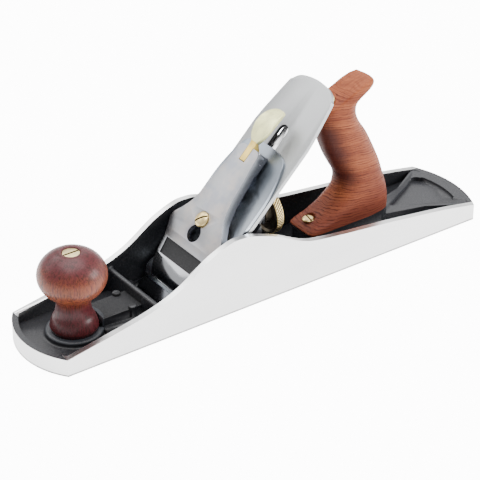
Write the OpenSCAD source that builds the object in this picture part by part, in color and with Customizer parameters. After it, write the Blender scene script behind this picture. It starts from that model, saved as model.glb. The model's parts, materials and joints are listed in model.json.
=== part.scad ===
// Bench plane with an adjustable frog, in millimetres.
// The origin is the middle of the sole, z points up, the toe is at -x and the
// side walls are at -y and +y. Everything that lies on the frog is drawn in bed
// coordinates: x runs up the bed, z stands square to the bed.

/* [Body casting] */
// length of the sole
body_l = 381; // [378:1:388]
// width of the sole
body_w = 73; // [72.6:0.2:78]
// thickness of the two side walls
wall_t = 4.5; // [4:0.1:4.6]
// thickness of the sole plate
floor_t = 6; // [5:0.2:6.4]
// height of the rim at the toe
rim_h = 13.2; // [12.6:0.2:14]
// greatest height of the side walls, beside the frog
wall_h = 58; // [52:1:62]
// bow of the toe in plan
toe_bow = 12.8; // [11:0.2:14]
// bow of the heel in plan
heel_bow = 9; // [8:0.2:10]
// width of the mouth from its front edge to the bed line at the sole
mouth_l = 6.5; // [6:0.1:7.4]

/* [Front knob] */
// distance of the knob axis behind the toe
knob_back = 40.5; // [38.5:0.5:41.5]
// largest radius of the knob
knob_r = 24.4; // [23:0.2:25.4]
// height of the top of the knob above the sole
knob_h = 71.5; // [68:0.5:76]

/* [Tote] */
// thickness of the tote
tote_w = 28.6; // [26:0.2:30]
// height of the horn above the sole
tote_h = 131.3; // [127:0.1:134]

/* [Blade] */
// gap between the iron and the side walls, on each side
blade_side = 1.85; // [1.6:0.05:2.6]
// thickness of the iron
iron_t = 3.2; // [3:0.05:3.3]
// thickness of the cap iron
cap_t = 3.15; // [2.9:0.05:3.2]
// distance from the cutting edge to the top of the iron
iron_l = 196.2; // [193:0.2:200]

/* [Lever cap] */
// how far the lever cap stays inside the iron on each side
lcap_side = 0.55; // [0.2:0.05:1.6]
// width of the thumb pad of the cam lever
pad_w = 17; // [15:0.5:18]
// greatest reach of the cam below its pin
cam_r = 5.9; // [5.4:0.05:6]

/* [Frog and adjusters] */
// how far the frog stays inside the iron on each side
frog_side = 3.15; // [2:0.05:4]
// thickness of the inclined plate of the frog
frog_t = 9; // [8.2:0.1:9.4]
// height of the seat that the frog slides on
seat_h = 16; // [15.6:0.1:16.2]
// radius of the depth wheel
wheel_r = 16.8; // [15:0.2:17.2]
// radius of the stud that the depth wheel runs on
depth_stud_r = 3; // [2.6:0.1:3.2]
// radius of the frog pins
pin_r = 3.5; // [3.1:0.1:3.7]

/* [Fasteners] */
// radius of the knob stud and the tote stud
stud_r = 2.9; // [2.5:0.1:3]
// radius of the brass nut heads
nut_r = 6; // [5.5:0.1:6.1]

/* [Clearances] */
// gap between flat faces that slide on each other
slide_gap = 0.05; // [0.03:0.01:0.08]
// radial clearance of turning fits
turn_fit = 0.1; // [0.06:0.01:0.12]
// radial clearance of parts that are fixed in their holes
fix_fit = 0.05; // [0.03:0.01:0.08]

/* [Hidden] */
$fn = 64;

half_w = body_w / 2;
in_w = half_w - wall_t;
mouth_x = -83.2;
bed_x = mouth_x + mouth_l;
heel_rim = rim_h - 0.5;
toe_r = (half_w * half_w + toe_bow * toe_bow) / (2 * toe_bow);
heel_r = (half_w * half_w + heel_bow * heel_bow) / (2 * heel_bow);
toe_c = -body_l / 2 + toe_r;
heel_c = body_l / 2 - heel_r;
knob_x = body_l / 2 - knob_back;
iron_w = 2 * (in_w - blade_side);
lcap_w = iron_w - 2 * lcap_side;
frog_w = iron_w - 2 * frog_side;
blade_hw = iron_w / 2;
blade_k = blade_hw / 30.15;
mouth_hw = blade_hw + 0.85;
seat_hw = in_w - 3;
bed_back = 0.5;

// cubic curve through a list of points, k steps to a stretch
function cr(a, b, c, d, t) = 0.5 * (2 * b + (c - a) * t + (2 * a - 5 * b + 4 * c - d) * t * t
    + (3 * b - a - 3 * c + d) * t * t * t);
function smooth(p, k) = let (n = len(p) - 1) concat(
    [for (i = [0:n - 1]) for (j = [0:k - 1])
        cr(p[max(i - 1, 0)], p[i], p[i + 1], p[min(i + 2, n)], j / k)], [p[n]]);
function mirrored(p) = concat(p, [for (i = [len(p) - 1:-1:0]) [p[i][0], -p[i][1]]]);

module on_bed() translate([bed_x, 0, 0]) rotate([0, -45, 0]) children();
// a side outline given as (x, z), w wide across the plane
module across(p, w) translate([0, w / 2, 0]) rotate([90, 0, 0]) linear_extrude(w) polygon(p);
module box(a, b) translate(a) cube([b[0] - a[0], b[1] - a[1], b[2] - a[2]]);
// a rod along x from a to b
module rod_x(a, b, r) translate([a, 0, 0]) rotate([0, 90, 0]) cylinder(r = r, h = b - a);
module rod_y(w, r) rotate([90, 0, 0]) cylinder(r = r, h = w, center = true);
module rod_z(a, b, r) translate([0, 0, a]) cylinder(r = r, h = b - a);

/* body casting */
wall_k = (wall_h - rim_h) / 44.8;
end_k = body_l / 381;
wall_pts = [[-177.6, 13.4], [-152, 17.8], [-127.9, 22], [-111.5, 25.5], [-98, 29.5],
    [-86.7, 34.3], [-77, 40], [-61, 50.5], [-44, 57.2], [-34, 58], [-24, 56.5], [-4, 49.3],
    [14, 40], [22.5, 36.5], [33, 33.8], [60, 30], [99, 25.6], [150, 18.5], [181.6, 12.7]];
wall_line = [for (p = smooth(wall_pts, 4)) [p[0] * end_k, rim_h + (p[1] - 13.2) * wall_k]];

// plan of the sole with its bowed ends, drawn in by g, from height a to b
module plan(g, a, b) difference() {
    box([-body_l, g - half_w, a], [body_l, half_w - g, b]);
    difference() {
        box([-body_l - 1, -body_w, a - 1], [toe_c, body_w, b + 1]);
        translate([toe_c, 0, a - 2]) cylinder(r = toe_r - g, h = b - a + 4, $fn = 180);
    }
    difference() {
        box([heel_c, -body_w, a - 1], [body_l + 1, body_w, b + 1]);
        translate([heel_c, 0, a - 2]) cylinder(r = heel_r - g, h = b - a + 4, $fn = 180);
    }
}

ped_x0 = 43.2;
ped_x1 = 122;
ped_hw = 12.6;
ped_h = 20.45;
block_x1 = -10;
pin_x = -30;
pin_y = 17;
screw_z = 11;
boss_h = 10.2;
rib_x = -100;
rib_h = 24.3;
knob_foot_r = 17;

module tote_line(a, b, r) translate([101, 0, 20.5]) rotate([0, -19.4, 0]) rod_z(a, b, r);

module heel_deck() {
    intersection() {
        plan(wall_t - 0.1, floor_t - 0.1, heel_rim);
        translate([0, 0, floor_t - 0.1]) linear_extrude(heel_rim) polygon([[118, -8], [150, -16.5],
            [178, -in_w - 1], [body_l, -in_w - 1], [body_l, in_w + 1], [178, in_w + 1], [150, 16.5],
            [118, 8]]);
    }
}
module heel_panel() {
    intersection() {
        translate([heel_c, 0, heel_rim - 3.4]) cylinder(r = heel_r - 11, h = 9, $fn = 180);
        translate([0, 0, heel_rim - 3.4]) linear_extrude(9) polygon(mirrored(concat([[130, 1.5]],
            smooth([[162, 18.5], [166.5, 21.6], [170, 22.6], [173, 21.8], [175.4, 19]], 3),
            [[190, 17]])));
    }
}

module body_casting() color("dimgray") difference() {
    union() {
        difference() {
            intersection() {
                plan(0, 0, wall_h + 5);
                across(concat([[-body_l, 0], [-body_l, rim_h]], wall_line,
                    [[body_l, heel_rim], [body_l, 0]]), body_w + 4);
            }
            plan(wall_t, floor_t, wall_h + 9);
        }
        heel_deck();
        // round boss under the knob, the raised plate behind it and the step beside that plate
        translate([-knob_x, 0, 0]) rod_z(floor_t - 1, boss_h, 20.6);
        difference() {
            union() {
                across([[-134, 5], [-134, 15.4], [-132.6, 16.1], [rib_x, 16.1], [rib_x, 5]], 22);
                box([-134, -17, floor_t - 1], [rib_x, 17, 9.8]);
            }
            translate([-knob_x, 0, boss_h]) cylinder(r = knob_foot_r + 0.8, h = 20);
        }
        for (s = [-1, 1]) translate([-109, 10.4 * s, 0]) rod_z(floor_t - 1, 18, 3);
        // cross rib in front of the mouth, with a rounded top
        box([rib_x - 1.8, -in_w - 1, floor_t - 1], [rib_x + 1.8, in_w + 1, rib_h - 1.8]);
        translate([rib_x, 0, rib_h - 1.8]) rod_y(2 * in_w + 2, 1.8);
        for (s = [-1, 1]) translate([mouth_x - 2.9, (mouth_hw - 1.6) * s, 0]) rod_z(floor_t - 1, 8.5, 2.5);
        // seat block of the frog
        box([mouth_x + 2, -seat_hw, floor_t - 1], [block_x1, seat_hw, seat_h]);
        // pedestal of the tote
        box([ped_x0 + 6, -ped_hw, floor_t - 1], [ped_x1 - ped_hw, ped_hw, ped_h]);
        box([ped_x0, -ped_hw + 6, floor_t - 1], [ped_x0 + 8, ped_hw - 6, ped_h]);
        for (s = [-1, 1]) translate([ped_x0 + 6, (ped_hw - 6) * s, 0]) rod_z(floor_t - 1, ped_h, 6);
        translate([ped_x1 - ped_hw, 0, 0]) rod_z(floor_t - 1, ped_h, ped_hw);
    }
    heel_panel();
    // mouth: upright in front, parallel to the bed behind
    intersection() {
        box([mouth_x, -mouth_hw, -1], [-40, mouth_hw, seat_h + 1]);
        on_bed() box([-20, -mouth_hw, -bed_back], [60, mouth_hw, 60]);
    }
    translate([-knob_x, 0, 0]) rod_z(3, 30, stud_r + fix_fit);
    tote_line(-16, 10, stud_r + fix_fit);
    translate([51.8, 0, 0]) rod_z(9, 40, 2.4 + fix_fit);
    for (s = [-1, 1]) translate([pin_x, pin_y * s, 0]) {
        rod_z(floor_t, 30, pin_r + 2);
        translate([0, 0, screw_z]) rod_x(2, 30, 3.2 + fix_fit);
    }
    translate([0, 0, screw_z]) rod_x(pin_x - 2, 0, 3.3);
}

/* front knob, its stud and nut */
function kz(z) = boss_h + slide_gap + (z - 10.25) * (knob_h - boss_h - slide_gap) / 61.25;
knob_top = kz(67.4);

module front_knob() color("sienna") translate([-knob_x, 0, 0]) rotate_extrude($fn = 96) polygon(
    [for (p = concat([[stud_r + 0.3, 10.25]],
        smooth([[15.8, 10.25], [knob_foot_r, 12.5], [16.9, 14], [16, 17.2], [15, 20], [13.5, 22.8],
            [12.4, 26.7], [12.1, 30], [12.3, 33], [13.2, 35.6]], 3),
        [for (a = [-56:6:70]) [knob_r * cos(a), 52.6 + 19.2 * sin(a)]],
        [[nut_r + 0.8, 71.3], [nut_r + 0.3, 71], [nut_r + 0.3, 67.4], [4.4, 67.4], [4.4, 54],
            [stud_r + 0.3, 54]]))
        [p[0], kz(p[1])]]);

module nut(barrel) difference() {
    union() {
        rod_z(0, 2.6, nut_r);
        rod_z(-barrel, 0.1, 4.1);
    }
    rod_z(-barrel - 1, -2, stud_r + fix_fit);
    box([-nut_r - 1, -0.8, 1.4], [nut_r + 1, 0.8, 4]);
}
module knob_stud() color("silver") translate([-knob_x, 0, 0]) rod_z(3.2, knob_top - 3, stud_r);
module knob_nut() color("goldenrod") translate([-knob_x, 0, knob_top + fix_fit]) nut(10);

/* tote, built of level rings, with its stud, nut and toe screw */
tote_z0 = ped_h + slide_gap;
tote_k = (tote_h - tote_z0) / 110.8;
tote_front = smooth([[20.5, 44], [22.5, 44], [27.6, 51.8], [32, 60], [37, 67], [42, 72.3],
    [48, 75.6], [54, 76.6], [60, 75], [66, 71.4], [76, 66], [86.5, 61.6], [96, 58.5], [106, 57],
    [113, 57.5], [116.2, 59.2], [118.3, 63.6], [120.4, 68.6], [124.2, 77.4], [127.3, 84.4],
    [129.6, 91], [130.9, 96.5], [131.3, 99]], 3);
tote_back = smooth([[20.5, 121], [28, 121.5], [39, 119.8], [54, 115], [66, 110.6], [86.5, 100.7],
    [98, 93.2], [104.7, 90], [110, 89.7], [115, 91.8], [119, 96.4], [121.6, 100.6], [124, 103.6],
    [126.4, 105.2], [128.6, 105], [130.4, 103.3], [131.3, 101.3]], 3);
tote_levels = [20.5, 22.5, 23.4, 24.8, 26.4, 28.4, 31, 34, 37, 40, 43, 46, 50, 54, 58, 62, 66, 71,
    76, 81.5, 87, 92, 97, 102, 106, 110, 113, 115.5, 117.5, 119, 121, 123, 125, 127, 128.5, 129.6,
    130.5, 131, 131.3];
tote_sq_front = [[20.5, 12], [23, 9], [27, 4], [34, 3], [46, 2.3], [104, 2.3], [112, 3.4],
    [117, 7], [131.3, 7]];
tote_sq_back = [[20.5, 3.2], [30, 2.8], [46, 2.3], [104, 2.2], [112, 2], [131.3, 2]];
tote_half = [[20.5, 14.3], [100, 14.3], [108, 13.7], [115, 12.5], [121, 11.9], [128, 11.7],
    [130.2, 11.1], [131.3, 9.8]];

function spow(v, e) = sign(v) * pow(abs(v), e);
function tote_ring(z, n) = let (a = lookup(z, tote_front), b = lookup(z, tote_back),
        cx = (a + b) / 2, hx = (b - a) / 2, w = lookup(z, tote_half) * tote_w / 28.6)
    [for (i = [0:n - 1]) let (t = (i + 0.5) * 360 / n,
        e = 2 / lookup(z, cos(t) < 0 ? tote_sq_front : tote_sq_back))
        [cx + hx * spow(cos(t), e), w * spow(sin(t), e), tote_z0 + (z - 20.5) * tote_k]];

module tote_blank(n = 44) {
    m = len(tote_levels);
    polyhedron([for (z = tote_levels) each tote_ring(z, n)],
        concat([[for (i = [0:n - 1]) i]], [[for (i = [n - 1:-1:0]) (m - 1) * n + i]],
        [for (k = [0:m - 2]) for (i = [0:n - 1]) each let (j = (i + 1) % n)
            [[k * n + i, (k + 1) * n + i, (k + 1) * n + j], [k * n + i, (k + 1) * n + j, k * n + j]]]),
        convexity = 4);
}
tote_nut_s = 103.6 * tote_k;

module tote() color("sienna") difference() {
    tote_blank();
    tote_line(-5, 130, stud_r + 0.35);
    tote_line(tote_nut_s - 0.1, 130, nut_r + 0.3);
    tote_line(tote_nut_s - 22, 130, 4.4);
    translate([51.8, 0, 0]) rod_z(15, 40, 2.6);
    translate([51.8, 0, 0]) rod_z(26.4, 40, 5.1);
}
module tote_stud() color("silver") tote_line(-15.5, tote_nut_s - 3, stud_r);
module tote_nut() color("goldenrod") translate([101, 0, 20.5]) rotate([0, -19.4, 0])
    translate([0, 0, tote_nut_s]) nut(14);
module tote_toe_screw() color("goldenrod") translate([51.8, 0, 0]) difference() {
    union() {
        rod_z(9.3, 26.5, 2.4);
        rod_z(26.45, 27.6, 4.8);
        translate([0, 0, 27.6]) cylinder(r1 = 4.8, r2 = 3.4, h = 1);
    }
    rotate(80) box([-6, -0.6, 27.7], [6, 0.6, 30]);
}

/* frog and the pieces fixed to it */
foot_z = seat_h + slide_gap;
frog_x1 = -6;
pivot = [93, -10];
bolt_s = 65.8;
blade_screw_s = 108;
roller_s = 122;
lateral_s = 136;
frog_top = 146;
wheel_z = 47;
// height and place along x of a point given up the bed and square to it
function bz(s, n) = (s + n) / sqrt(2);
function bx(s, n) = bed_x + (s - n) / sqrt(2);

module frog() color("dimgray") difference() {
    union() {
        on_bed() translate([0, 0, -frog_t]) linear_extrude(frog_t - slide_gap) polygon(mirrored(
            smooth([[10, frog_w / 2], [62, frog_w / 2], [84, frog_w / 2 - 3], [108, 19], [132, 14.5],
                [frog_top, 13]], 3)));
        box([-53, -frog_w / 2, foot_z], [frog_x1, frog_w / 2, foot_z + 6]);
        // side webs and middle web
        for (s = [-1, 1]) translate([0, (frog_w / 2 - 2.5) * s, 0])
            across([[-53.5, foot_z + 1], [frog_x1 - 2, foot_z + 1], [frog_x1 - 2, 24],
                [frog_x1 - 5, 56.5], [-20, wheel_z]], 5);
        across([[-50, foot_z + 1], [frog_x1, foot_z + 1], [frog_x1, 30], [frog_x1 - 1.5, 41],
            [frog_x1 - 1.5, wheel_z], [-22, wheel_z]], 8);
        difference() {
            translate([0, 0, wheel_z]) rod_x(-34, frog_x1 - 1.5, 7);
            on_bed() box([0, -20, -2], [150, 20, 40]);
        }
        on_bed() translate([bolt_s, 0, 0]) rod_z(-frog_t - 4, -4, 8);
        // two lugs that hold the pin of the yoke
        for (s = [-1, 1]) on_bed() translate([0, 7.4 * s, 0]) {
            translate([pivot[0], 0, pivot[1]]) rod_y(3.2, 4.4);
            box([pivot[0] - 4.4, -1.6, pivot[1]], [pivot[0] + 4.4, 1.6, -4]);
        }
    }
    box([-120, -60, -20], [120, 60, foot_z]);
    on_bed() {
        // way of the yoke, room for the head of the cap iron screw, bed of the lateral lever
        box([87, -3.1, -30], [99, 3.1, 5]);
        box([97.5, -10.6, -5.2], [118, 10.6, 5]);
        box([115, -7.2, -2.4], [frog_top + 5, 7.2, 5]);
        box([86.5, -5.7, -30], [99.5, 5.7, -frog_t + 4.2]);
        translate([bolt_s, 0, 0]) rod_z(-9.2, 5, 3 + fix_fit);
        translate([lateral_s, 0, 0]) rod_z(-8, 5, 2.4 + fix_fit);
        translate([pivot[0], 0, pivot[1]]) rod_y(40, 2 + fix_fit);
    }
    translate([0, 0, wheel_z]) rod_x(-19.5, 20, depth_stud_r + fix_fit);
    for (s = [-1, 1]) translate([pin_x, pin_y * s, 0]) {
        rod_z(5, 30, pin_r + fix_fit);
        rod_z(foot_z + 6, 27, 5.4);
    }
    translate([0, 0, 19.4]) rod_x(-14.5, 0, 2 + fix_fit);
}

module frog_pins() color("silver") for (s = [-1, 1]) translate([pin_x, pin_y * s, 0]) {
    rod_z(floor_t + 0.6, foot_z + 6, pin_r);
    rod_z(foot_z + 6, foot_z + 8.4, 5);
}
module frog_pin_setscrews() color("silver") for (s = [-1, 1]) translate([0, pin_y * s, screw_z])
    difference() {
        union() {
            rod_x(pin_x + pin_r + 3, block_x1 + 2.4, 3.2);
            translate([pin_x + pin_r + 1.3, 0, 0]) rotate([0, 90, 0])
                cylinder(r1 = 1.4, r2 = 3.2, h = 1.71);
        }
        box([block_x1 + 1, -0.6, -5], [block_x1 + 4, 0.6, 5]);
    }

collar_x = frog_x1 - 0.15;
plate_x = frog_x1 + 3;
module frog_adjusting_screw() color("silver") translate([0, 0, screw_z]) difference() {
    union() {
        rod_x(pin_x + 2, collar_x, 3);
        rod_x(collar_x - 1.5, collar_x, 4.6);
        rod_x(collar_x - 0.1, plate_x + 0.3, 2.4);
        rod_x(plate_x + 0.15, plate_x + 4.6, 4.6);
    }
    box([plate_x + 3.2, -6, -0.7], [plate_x + 6, 6, 0.7]);
}
module frog_adjusting_plate() color("silver") difference() {
    box([frog_x1, -8, floor_t + 1.2], [plate_x, 8, 23.6]);
    translate([0, 0, screw_z]) rod_x(frog_x1 - 1, plate_x + 1, 2.7);
    box([frog_x1 - 1, -2.7, 0], [plate_x + 1, 2.7, screw_z]);
    translate([0, 0, 19.4]) rod_x(-8, 0, 2 + fix_fit);
}
module frog_plate_screw() color("silver") translate([0, 0, 19.4]) difference() {
    union() {
        rod_x(-14, plate_x + 0.1, 2);
        rod_x(plate_x, plate_x + 1.8, 3.5);
    }
    box([plate_x + 1, -0.5, -5], [plate_x + 3, 0.5, 5]);
}

/* depth adjuster */
hub_x0 = 0.5;
groove_x0 = 2;
groove_x1 = 7.5;
rim_x0 = 11;
rim_x1 = 17.3;
groove_r = depth_stud_r + 2;
module depth_stud() color("silver") translate([0, 0, wheel_z]) rod_x(-19.3, rim_x1 + 2.8, depth_stud_r);
module depth_wheel() color("goldenrod") translate([0, 0, wheel_z]) rotate([0, 90, 0])
    rotate_extrude($fn = 96) polygon([[depth_stud_r + turn_fit, hub_x0], [7.2, hub_x0],
        [7.2, groove_x0], [groove_r, groove_x0], [groove_r, groove_x1], [7.6, groove_x1],
        [8.2, rim_x0 + 1.5], [wheel_r - 3.2, rim_x0 + 1.5], [wheel_r - 1.8, rim_x0],
        [wheel_r - 0.7, rim_x0], [wheel_r, rim_x0 + 0.7], [wheel_r, rim_x1 - 0.7],
        [wheel_r - 0.7, rim_x1], [wheel_r - 2.2, rim_x1], [wheel_r - 3.4, rim_x1 - 2],
        [7, rim_x1 - 2], [6.6, rim_x1 + 1.3], [depth_stud_r + turn_fit, rim_x1 + 1.3]]);

fork_x = 4.9;
fork_in = groove_r + 0.5;
module yoke() color("gray") difference() {
    union() {
        on_bed() {
            translate([pivot[0], 0, pivot[1]]) rod_y(10.6, 4.6);
            box([pivot[0] - 1.3, -2.2, pivot[1]], [pivot[0] + 1.3, 2.2, 4.8]);
            translate([pivot[0], 0, 4.8]) rod_y(4.4, 1.5);
        }
        // bridge from the pin down to the two prongs that stand in the wheel's groove
        across([[bx(pivot[0], pivot[1]) - 1, wheel_z + 8.6], [bx(pivot[0], pivot[1]), wheel_z + 15],
            [fork_x + 1.2, wheel_z + 11.4], [fork_x + 1.2, wheel_z + 8.6]], 10.6);
        box([fork_x - 1.2, -fork_in - 3, wheel_z + 7.3], [fork_x + 1.2, fork_in + 3, wheel_z + 10.5]);
        for (s = [-1, 1]) translate([0, (fork_in + 1.5) * s, 0])
            box([fork_x - 1.2, -1.5, wheel_z - 3.4], [fork_x + 1.2, 1.5, wheel_z + 8]);
    }
    on_bed() translate([pivot[0], 0, pivot[1]]) rod_y(30, 2 + turn_fit);
}
module yoke_pin() color("silver") on_bed() translate([pivot[0], 0, pivot[1]]) rod_y(18.4, 2);

/* lateral adjuster */
lat_n0 = -2.3;
slot_hw = 4.75;
lat_n1 = -0.3;
module lateral_lever() color("silver") on_bed() difference() {
    union() {
        translate([0, 0, lat_n0]) linear_extrude(lat_n1 - lat_n0) polygon(mirrored(smooth(
            [[118.4, 1.5], [119.4, 3.2], [122, 4], [126, 4.2], [132, 5.4], [137, 5.4], [141, 4.7],
                [146, 4.6], [169.4, 4.6]], 3)));
        translate([roller_s, 0, 0]) rod_z(lat_n0, 2.6, 2);
        // thumb tab, folded back behind the iron
        box([168, -9, -14], [170, 9, lat_n1]);
        box([160, -4.6, lat_n0], [169, 4.6, lat_n1]);
    }
    translate([lateral_s, 0, 0]) rod_z(-5, 5, 2.4 + turn_fit);
    translate([lateral_s, 0, 0]) rod_z(-1.25, 5, 3.9);
}
module lateral_roller() color("silver") on_bed() translate([roller_s, 0, 0]) difference() {
    rod_z(0.1, 2.9, slot_hw - 0.3);
    rod_z(-1, 5, 2.35);
}
module lateral_rivet() color("silver") on_bed() translate([lateral_s, 0, 0]) {
    rod_z(-7.8, -1, 2.4);
    rod_z(-1.1, -0.12, 3.6);
}

/* blade: iron, cap iron and the screw that clamps them */
edge_s = -2.8;
iron_top = edge_s + iron_l;
shoulder = iron_top - 38.4;
blade_line = concat([[edge_s - 1, blade_hw], [shoulder - 8, blade_hw]], smooth([[shoulder, blade_hw - 0.9],
    [iron_top - 11.9, 24.6 * blade_k], [iron_top - 8, 22.6 * blade_k],
    [iron_top - 3.1, 17.5 * blade_k], [iron_top - 0.8, 9 * blade_k], [iron_top, 0]], 4));
slot_top = iron_top - 38.9;
module iron() color("lightgray") on_bed() difference() {
    intersection() {
        linear_extrude(iron_t) polygon(mirrored(blade_line));
        across([[edge_s, iron_t], [edge_s + iron_t * tan(65), 0], [300, 0], [300, iron_t]], 90);
    }
    box([48, -slot_hw, -1], [slot_top - slot_hw, slot_hw, 9]);
    translate([slot_top - slot_hw, 0, 0]) rod_z(-1, 9, slot_hw);
    translate([46, 0, 0]) rod_z(-1, 9, 9);
}

cap_n0 = iron_t;
cap_n1 = cap_n0 + cap_t;
hump_0 = 9.5;
hump_1 = 27;
hump_step = (hump_1 - hump_0) / 24;
function hump(s) = 2 * pow(sin(180 * (s - hump_0) / (hump_1 - hump_0)), 2);
cap_profile = concat([for (i = [0:24]) let (s = hump_0 + i * hump_step) [s, cap_n0 + hump(s)]],
    [[200, cap_n0], [200, cap_n1]], [for (i = [24:-1:1]) let (s = hump_0 + i * hump_step)
        [s, cap_n0 + hump(s) + cap_t * (1 - pow(1 - min(1, i / 9), 2))]]);
module cap_iron() color("lightsteelblue") on_bed() difference() {
    intersection() {
        linear_extrude(20) polygon(mirrored(concat([[0, blade_hw - 0.45], [98, blade_hw - 0.45]],
            smooth([[105, blade_hw - 0.9], [117, 27.2 * blade_k], [128, 23.7 * blade_k],
                [132, 20.6 * blade_k], [134.4, 14 * blade_k], [135.4, 6 * blade_k], [135.5, 0]], 4))));
        across(cap_profile, 90);
    }
    box([61, -5.2, 0], [71, 5.2, 20]);
    for (s = [61, 71]) translate([s, 0, 0]) rod_z(0, 20, 5.2);
    box([pivot[0] - 1.9, -3.9, 0], [pivot[0] + 1.9, 3.9, 20]);
    translate([blade_screw_s, 0, 0]) rod_z(0, 20, 3.6 + fix_fit);
}
module cap_iron_screw() color("silver") on_bed() translate([blade_screw_s, 0, 0]) difference() {
    union() {
        rod_z(-3, 0, 8);
        rod_z(-0.1, cap_n1 - 0.1, 3.6);
    }
    box([-9, -0.8, -4], [9, 0.8, -1.6]);
}

/* lever cap with its screw, spring and cam lever */
cam = [122, 13.5];
stem_hw = 2.8;
lc_k = lcap_w / 59.2;
lc_line = smooth([[12.5, 17.3], [20, 19.3], [28.5, 21.5], [43, 25.3], [51, 28.4], [54.6, 29.6],
    [58, 29.4], [61, 27.4], [66, 23.5], [73, 19.2], [80, 17], [88, 15.5], [96, 14.5], [105, 13.5],
    [115, 12], [123, 11.2], [126, 9.6], [127, 7]], 3);
lc_top = smooth([[12.5, 9.6], [13.4, 10.8], [17, 13], [22, 14.7], [28, 15.5], [36, 15.3],
    [44, 15.3], [55, 16.6], [66, 17.6], [78, 18.6], [90, 19.2], [104, 19.4], [127, 19.6]], 3);
lc_low = [[127, 12.3], [114, 12], [90, 11.8], [66, 10.6], [52, 9.8], [30, 9.2], [19, 9.2], [18, 8.6],
    [12.5, 8.6]];
seat_n = 17.1;
cap_screw_r = 6;
function lc_hw(s) = lookup(s, lc_line) * lc_k;
function lc_n(s) = lookup(s, lc_top);
module lever_cap() color("gainsboro") on_bed() difference() {
    union() {
        difference() {
            intersection() {
                linear_extrude(30) polygon(mirrored([for (p = lc_line) [p[0], p[1] * lc_k]]));
                across(concat(lc_top, lc_low), 90);
            }
            // hollow underside
            intersection() {
                linear_extrude(30) polygon(mirrored([for (s = [21:3:111]) [s, lc_hw(s) - 2.6]]));
                across(concat([for (s = [20:4:112]) [s, lc_n(s) - 3]], [[112, 0], [20, 0]]), 90);
            }
        }
        // cheeks of the cam pin, boss of the spring
        box([cam[0] - 10, -10, 8.4], [126.6, 10, 18]);
        translate([98, 0, 0]) rod_z(7.55, 17.5, 5);
    }
    box([cam[0], -stem_hw - 0.3, 0], [140, stem_hw + 0.3, 30]);
    translate([cam[0], 0, cam[1]]) rod_y(2 * stem_hw + 0.6, 8.9);
    // plain sunk panel
    translate([0, 0, 14.5]) linear_extrude(9) polygon(mirrored([for (s = [29.6, 33, 38, 41.6])
        [s, lc_hw(s) - 3.2]]));
    // keyhole and seat of the screw
    translate([54.5, 0, 0]) rod_z(0, 30, cap_screw_r + 0.4);
    box([54.5, -3.5, 0], [bolt_s, 3.5, 30]);
    translate([bolt_s, 0, 0]) rod_z(0, 30, 3.5);
    translate([bolt_s, 0, 0]) rod_z(seat_n, 30, cap_screw_r + 0.4);
    translate([98, 0, 0]) rod_z(0, 15, 2 + fix_fit);
    translate([cam[0], 0, cam[1]]) rod_y(60, 2 + fix_fit);
}
module lever_cap_screw() color("goldenrod") on_bed() translate([bolt_s, 0, 0]) difference() {
    union() {
        rod_z(-9, seat_n + 1, 3);
        translate([0, 0, seat_n + slide_gap]) rotate_extrude() polygon(concat([[0, 0], [cap_screw_r, 0]],
            [for (a = [0:10:80]) [cap_screw_r * cos(a), 0.9 + 2.5 * sin(a)]], [[0, 3.4]]));
    }
    box([-7, -0.65, seat_n + 1.8], [7, 0.65, 30]);
}

stem_s = cam[0] - 5.2;
pad_top = smooth([[stem_s, 19.6], [126, 19.7], [130.5, 20.1], [134, 20.9], [139, 21.7], [145, 22],
    [150, 21.3], [154.5, 19.9], [158, 17.7], [160.6, 15.2]], 3);
pad_low = [[159.6, 14.3], [156.6, 16.3], [152, 18], [147, 18.9], [141, 19], [136, 18.4], [131.4, 17.2],
    [128, 13], [123, 11]];
pad_line = concat([[110, 2.8]], smooth([[130.6, 2.8], [131.6, 3.2], [133, 4.4], [135.5, 6], [138, 7.1],
    [141.5, 8.1], [145, 8.5], [150, 8.3], [154, 7.5], [157, 6.4], [159.4, 4.8], [160.5, 2.8],
    [160.8, 0.3]], 3));
module cam_lever() color("goldenrod") on_bed() difference() {
    union() {
        translate([cam[0], 0, cam[1] - 1.2]) rod_y(2 * stem_hw, cam_r - 1.2);
        intersection() {
            across(concat([[stem_s + 2.2, 13.5], [stem_s, 17.4]], pad_top, pad_low), 40);
            linear_extrude(40) polygon(mirrored([for (p = pad_line)
                [p[0], stem_hw + (p[1] - 2.8) * (pad_w / 2 - stem_hw) / 5.7]]));
        }
    }
    translate([cam[0], 0, cam[1]]) rod_y(30, 2 + turn_fit);
}
module cam_pin() color("silver") on_bed() translate([cam[0], 0, cam[1]]) rod_y(20, 2);
module lever_cap_spring() color("silver") on_bed() difference() {
    box([90, -7.5, 6.65], [127, 7.5, 7.4]);
    translate([98, 0, 0]) rod_z(0, 30, 2 + fix_fit);
}
module spring_rivet() color("silver") on_bed() translate([98, 0, 0]) rod_z(6.65, 14.8, 2);

body_casting();
front_knob();
knob_stud();
knob_nut();
tote();
tote_stud();
tote_nut();
tote_toe_screw();
frog();
frog_pins();
frog_pin_setscrews();
frog_adjusting_screw();
frog_adjusting_plate();
frog_plate_screw();
depth_stud();
depth_wheel();
yoke();
yoke_pin();
lateral_lever();
lateral_roller();
lateral_rivet();
iron();
cap_iron();
cap_iron_screw();
lever_cap();
lever_cap_screw();
cam_lever();
cam_pin();
lever_cap_spring();
spring_rivet();
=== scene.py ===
# Bench plane: its looks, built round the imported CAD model. The origin is the middle of the sole's
# underside, the toe points to -x and z is up. Sizes are in millimetres and turn into metres where a
# mesh is made.
import bpy
import bmesh
import json
import math
import numpy as np
from mathutils import Matrix, Vector

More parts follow.
